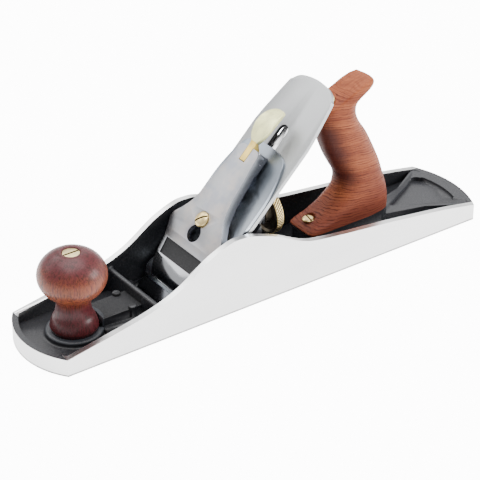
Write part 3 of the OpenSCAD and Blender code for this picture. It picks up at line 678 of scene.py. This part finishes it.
def knurled():
    # light on the points, darker in both sets of grooves
    x, y, z = place()
    a = y.op("ARCTAN2", WHEEL_Z - z) * TEETH
    groove_dark = ((a + x * LEAN).cos() * 0.72 + (a - x * LEAN).cos() * 0.28).step(-0.35, 0.55)
    return {"Base Color": tint(groove_dark, (0.92, 0.72, 0.36), (0.10, 0.06, 0.025)),
            "Metallic": 1.0, "Roughness": 0.28 + groove_dark * 0.2}


FINISH["knurl"] = material("knurled_brass", knurled)
# painted shade: a dark brass for the wheel's dished front and the cam pad's underside
FINISH["shaded_brass"] = material("painted_shade_brass", brass((0.28, 0.24, 0.18), 0.5))
wheel = turned("wheel", WHEEL_OUTLINE, "brass", 480, Rim=(RIM_R - 0.05) * MM,
               Teeth=float(TEETH), Lean=LEAN / MM, Depth=GROOVE * MM)
skin(wheel, "brass", "shaded_brass", "knurl")
# the dished front gets the painted shade, the rim the knurl
for f in wheel.data.polygons:
    c = f.center / MM
    r = math.hypot(c.x, c.y)
    dish, rim = r < DISH_R and c.z < 16, r > DISH_R + 0.3 and 11.6 < c.z < 16.7
    f.material_index = 1 if dish else 2 if rim else 0
along_plane = Matrix.Rotation(math.radians(90), 4, "Y")
keep(shift(wheel, Matrix.Translation((0, 0, WHEEL_Z * MM)) @ along_plane), "depth_wheel", 40)
yoke = machined("yoke", "yoke_cast", 0.5)
skin(yoke, "grey")
keep(yoke, "yoke", 35)

# Lateral lever. Bright strip steel with a folded thumb tab, riveted to the frog. The roller on its
# other end stands in the slot of the iron and tilts it.
FINISH["bright"] = material("bright_steel", steel((0.97, 0.97, 0.97), 0.12, depth=0.004))
lever = machined("lateral_lever", "lateral_lever_steel", 0.3)
skin(lever, "bright")
keep(lever, "lateral_lever", 35)
skin(frame["nodes"]["lateral_rivet"], "bright")
skin(frame["nodes"]["lateral_roller"], "steel")

# Blade. A satin ground iron with a long slot, and a cap iron of blued spring steel whose hump
# presses on it just behind the edge. One large screw clamps the two.
SLOT_HALF, SLOT_LOW, SLOT_HIGH = 9.2, 36.0, 155.5


def iron_face():
    # the flat end behind the edge is polished, so that it mirrors the dark walls, and its colour is
    # darkened there as a painted reflection of them
    look = steel((0.45, 0.46, 0.465), 0.38)()
    end = (bed_place()[0] - BED_X * BED_SIN).step(17.0, 12.0)
    # painted reflection: the end's colour darkened
    look["Base Color"] = tint(end, look["Base Color"], (0.13, 0.135, 0.15))
    look["Roughness"] = (look["Roughness"] - end * 0.34).clip(0.06, 0.8)
    return look


def cap_iron_face():
    # darker towards its upper end
    look = steel((0.46, 0.50, 0.55), 0.24)()
    upper = (bed_place()[0] - BED_X * BED_SIN).step(80.0, 116.0)
    look["Base Color"] = tint(upper, look["Base Color"], (0.25, 0.28, 0.32))
    return look


FINISH["iron"] = material("iron_steel", iron_face)
# painted shade on the walls of the iron's slot
FINISH["slot"] = material("shaded_slot_walls", steel((0.055, 0.056, 0.06), 0.5, False, 0.02, 0.5))
FINISH["cap_iron"] = material("cap_iron_steel", cap_iron_face)
blade = machined("iron", "iron_blade", 0.3)
skin(blade, "iron", "slot")
for f in blade.data.polygons:
    c, n = f.center / MM, f.normal
    s = (c.x - BED_X + c.z) * BED_SIN
    in_slot = abs(n.z - n.x) < 0.3 and abs(c.y) < SLOT_HALF and SLOT_LOW < s < SLOT_HIGH
    f.material_index = 1 if in_slot else 0
keep(blade, "iron", 30)
cap_iron = machined("cap_iron", "cap_iron_blade", 0.5, 0.0, 3)
skin(cap_iron, "cap_iron")
keep(cap_iron, "cap_iron", 30)
clamp_screw = machined("cap_iron_screw", "cap_iron_screw_steel", 0.35)
skin(clamp_screw, "steel")
keep(clamp_screw, "cap_iron_screw", 35)

# Lever cap. Cast steel, satin on top with a polished nose, with painted shade on its sides,
# hooked under the screw by its keyhole. A sunk panel across it is painted black and left plain. A
# riveted leaf spring under its upper end takes the push of the cam.
NOSE_TO = 28.6
PANEL_LOW, PANEL_HIGH, PANEL_HALF = 29.2, 42.0, 22.2
FORK_FROM, FORK_HALF = 108.0, 10.6


def enamel():
    # flat black paint, stippled and a little dusty
    p = vec(*place())
    grain = cloud(p, 1.6, 4.0, 0.6)
    dust = cloud(p, 0.12, 3.0, 0.6)
    stipple = cells(p, 1.25)
    return {"Base Color": tint(dust * 0.5 + stipple * 0.6, (0.002, 0.002, 0.003),
                               (0.022, 0.022, 0.024)),
            "Roughness": 0.42 + grain * 0.15, "Specular IOR Level": 0.3,
            "Normal": bump(grain * 0.5 + stipple, 0.12, 0.8)}


def cap_steel():
    # satin with warm and cool stains where it is handled, darker low down, polished on the nose
    s, y, n = bed_place()
    s = s - BED_X * BED_SIN
    fine = cloud(vec(s * 3.2, y * 0.02, n * 3.2), 1.0, 4.0, 0.7)
    stain = cloud(vec(s, y, n), 0.07, 4.0, 0.6).step(0.40, 0.66)
    cool = cloud(vec(s, y + 40.0, n), 0.09, 4.0, 0.6).step(0.42, 0.68)
    nose = s.step(NOSE_TO + 1.9, NOSE_TO)
    col = tint(fine, (0.36, 0.365, 0.38), (0.45, 0.455, 0.47))
    col = tint(stain * 0.7, col, (0.54, 0.485, 0.455))
    col = tint(cool * 0.6, col, (0.30, 0.32, 0.38))
    col = tint(s.step(100.0, 40.0) * 0.30, col, (0.22, 0.21, 0.21))
    return {"Base Color": tint(nose, col, (0.42, 0.43, 0.45)), "Metallic": 1.0,
            "Roughness": (0.30 + fine * 0.08 + stain * 0.05 - nose * 0.22).clip(0.07, 0.6),
            "Normal": bump(fine, 0.008, 0.4)}


FINISH["lever_cap"] = material("lever_cap_steel", cap_steel)
FINISH["panel"] = material("panel_enamel", enamel)
# painted shade: a darker copy of the lever cap's steel for its sides and the cam pin
FINISH["shaded_side"] = material("shaded_cap_side_steel", steel((0.20, 0.21, 0.23), 0.30))
FINISH["spring"] = material("spring_steel", steel((0.30, 0.33, 0.40), 0.3))


def cap_edges(e, w):
    """The mouth of the cam lever's fork stays sharp."""
    at = middle(e)
    in_fork = (at.x - BED_X + at.z) * BED_SIN > FORK_FROM and abs(at.y) < FORK_HALF
    return 0.0 if in_fork else w


cap = machined("lever_cap", "lever_cap_plate", 0.45, 0.4, 3, 24.0, cap_edges)
skin(cap, "lever_cap", "panel", "shaded_side")
for f in cap.data.polygons:
    c, n = f.center / MM, f.normal
    s, height = (c.x - BED_X + c.z) * BED_SIN, (c.z - c.x + BED_X) * BED_SIN
    sunk = 14.3 < height < 15.28
    panel = PANEL_LOW < s < PANEL_HIGH and sunk and abs(c.y) < PANEL_HALF
    # the sides get the painted shade
    side = abs(n.z - n.x) < 0.5 and height > 9 and s > PANEL_HIGH + 2
    f.material_index = 1 if panel else 2 if side else 0
keep(cap, "lever_cap", 30)
skin(frame["nodes"]["lever_cap_spring"], "spring")
skin(frame["nodes"]["spring_rivet"], "steel")

# Cam lever. Cast in pale brass, with a thumb pad that is polished on top and painted dark below as
# shade. It turns on a steel pin in the lever cap, and its foot presses on the leaf spring.
PAD_FROM, STEM_FROM, STEM_SHIFT = 131.2, 117.6, 0.8
FINISH["pale_brass"] = material("cast_brass", brass((0.97, 0.96, 0.52), 0.34))
FINISH["stem_brass"] = material("stem_brass", brass((0.98, 0.72, 0.20), 0.28))
cam = machined("cam_lever", "cam_lever_brass", 0.7, 0.0, 4, 40.0)
skin(cam, "pale_brass", "stem_brass", "shaded_brass")
for v in cam.data.vertices:
    if (v.co.x / MM - BED_X + v.co.z / MM) * BED_SIN < STEM_FROM:
        v.co += Vector((-BED_SIN, 0, -BED_SIN)) * STEM_SHIFT * MM
# faces turned down from the bed get the painted shade
for f in cam.data.polygons:
    c, n = f.center / MM, f.normal
    on_stem = (c.x - BED_X + c.z) * BED_SIN < PAD_FROM
    f.material_index = 2 if n.z - n.x < -0.4 else 1 if on_stem else 0
keep(cam, "cam_lever", 50)
# the cam pin's ends take the same painted shade as the sides
skin(frame["nodes"]["cam_pin"], "shaded_side")

# Table and studio. A pale floor that glows for the camera, a pale room, soft lamps placed so that
# the level, sloped and ground faces mirror them, and the camera of the photograph.
FLOOR_HALF = 4.0
FLOOR_GLOW, FLOOR_GLOW_SEEN, FLOOR_GLOW_MIRRORED = 0.1, 11.0, 2.3
ROOM, ROOM_MIRRORED = 0.22, 0.75
FRAME_PIXELS, FOCAL_PIXELS, SENSOR = 480, 2066.531, 36.0
AZIMUTH, ELEVATION, ROLL, DISTANCE = -35.664, 31.121, 0.055, 1749.608
LOOKS_AT = Vector((124.035, 186.636, -107.911))


def glow_floor():
    seen = Value.node("ShaderNodeLightPath", {}, {}, "Is Camera Ray")
    mirrored = Value.node("ShaderNodeLightPath", {}, {}, "Is Glossy Ray")
    glow = seen * FLOOR_GLOW_SEEN + mirrored * FLOOR_GLOW_MIRRORED + FLOOR_GLOW
    return {"Base Color": (0.92, 0.92, 0.92), "Roughness": 0.9, "Emission Color": (1, 1, 1),
            "Emission Strength": glow}


floor_mesh = bpy.data.meshes.new("floor")
corners = [(x * FLOOR_HALF, y * FLOOR_HALF, 0) for x, y in ((-1, -1), (1, -1), (1, 1), (-1, 1))]
floor_mesh.from_pydata(corners, [], [(0, 1, 2, 3)])
floor = bpy.data.objects.new("floor", floor_mesh)
bpy.context.scene.collection.objects.link(floor)
floor_mesh.materials.append(material("pale_floor", glow_floor))

world = bpy.data.worlds.new("studio")
bpy.context.scene.world = world
world.use_nodes = True
Value.tree = world.node_tree
background = Value.tree.nodes["Background"]
put((1, 1, 1), background.inputs["Color"])
glossy = Value.node("ShaderNodeLightPath", {}, {}, "Is Glossy Ray")
put(glossy * ROOM_MIRRORED + ROOM, background.inputs["Strength"])


def lamp(name, at, size, watts):
    data = bpy.data.lights.new(name, "AREA")
    data.shape = "RECTANGLE"
    data.size, data.size_y = size
    data.energy = watts
    ob = bpy.data.objects.new(name, data)
    ob.location = at
    ob.rotation_euler = (Vector((0, 0, 0.04)) - Vector(at)).to_track_quat("-Z", "Y").to_euler()
    bpy.context.scene.collection.objects.link(ob)


lamp("key", (1.75, -1.45, 0.95), (1.3, 1.0), 62)
lamp("top", (0.0, 0.1, 1.8), (1.8, 1.6), 50)
lamp("rim", (1.05, 1.45, 1.1), (1.3, 0.8), 6)
lamp("left", (-1.25, 1.65, 1.25), (1.3, 1.0), 9)
lamp("ridge", (-0.30, 1.60, 1.50), (0.7, 0.8), 9)

azimuth, elevation, roll = (math.radians(angle) for angle in (AZIMUTH, ELEVATION, ROLL))
back = Vector((math.sin(azimuth) * math.cos(elevation), -math.cos(azimuth) * math.cos(elevation),
               math.sin(elevation)))
right = Vector((math.cos(azimuth), math.sin(azimuth), 0))
level_view = Matrix((right, back.cross(right), back)).transposed().to_4x4()
camera_data = bpy.data.cameras.new("photo")
camera_data.sensor_width = SENSOR
camera_data.lens = FOCAL_PIXELS / FRAME_PIXELS * SENSOR
camera_data.clip_end = 20
camera = bpy.data.objects.new("photo", camera_data)
camera.matrix_world = (Matrix.Translation((LOOKS_AT + back * DISTANCE) * MM) @ level_view
                       @ Matrix.Rotation(roll, 4, "Z"))
bpy.context.scene.collection.objects.link(camera)
bpy.context.scene.camera = camera
